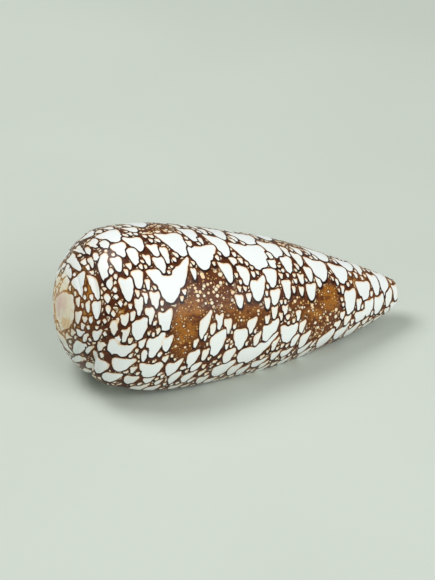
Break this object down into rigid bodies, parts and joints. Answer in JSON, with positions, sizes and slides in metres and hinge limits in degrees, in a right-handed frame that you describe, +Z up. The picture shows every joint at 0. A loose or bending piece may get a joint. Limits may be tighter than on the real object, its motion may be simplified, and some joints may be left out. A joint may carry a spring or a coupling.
{
  "type": "cone shell",
  "caption": "Tented cone shell lying on its mouth, with a low domed spire, a rounded shoulder, a tapering body whorl and a narrow mouth slit; a natural display piece.",
  "frame": {"origin": "on the surface that the shell rests on, under the middle of its box", "axes": "+Z up; +X from the apex to the front end, as seen from above; -Y is the side that the lip is on"},
  "size_m": [0.0598, 0.0272, 0.0257],
  "materials": {
    "shell": "naturally polished shell: white tents outlined in dark brown over orange-brown bands, pale worn spire, glossy"
  },
  "bodies": {
    "root": {"shell": "shell"}
  },
  "joints": []
}
